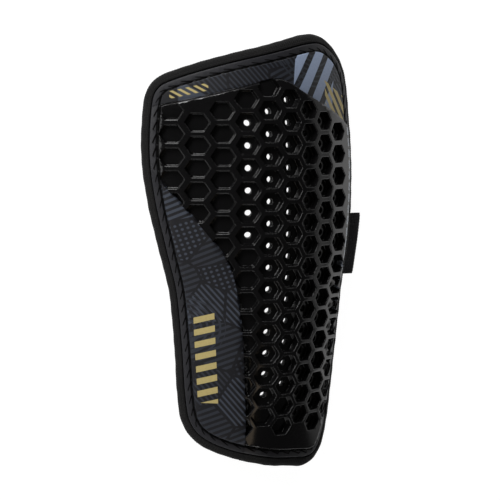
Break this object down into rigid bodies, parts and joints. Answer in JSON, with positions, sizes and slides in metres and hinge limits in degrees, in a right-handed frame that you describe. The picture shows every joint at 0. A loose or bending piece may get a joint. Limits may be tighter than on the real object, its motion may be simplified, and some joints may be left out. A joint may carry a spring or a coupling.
{
  "type": "soccer shin guard",
  "caption": "Soccer shin guard: moulded shell with a honeycomb front on a foam backing with a bound edge and a short webbing tab.",
  "frame": {"origin": "middle of the plan of the whole guard, on the ground it lies on, hollow side down", "axes": "+Y along the guard from the ankle end to the knee end, +Z out of its front, +X to the right when seen from the front"},
  "size_m": [0.1176, 0.2114, 0.036],
  "materials": {
    "shell": "black moulded plastic, glossy in the pits, with a satin printed film above and at the lower left",
    "foam": "black cloth-faced foam",
    "binding": "black ribbed knit",
    "webbing": "black woven webbing"
  },
  "bodies": {
    "root": {"shell": "shell", "foam_backing": "foam", "edge_binding": "binding", "webbing_tab": "webbing"}
  },
  "joints": []
}
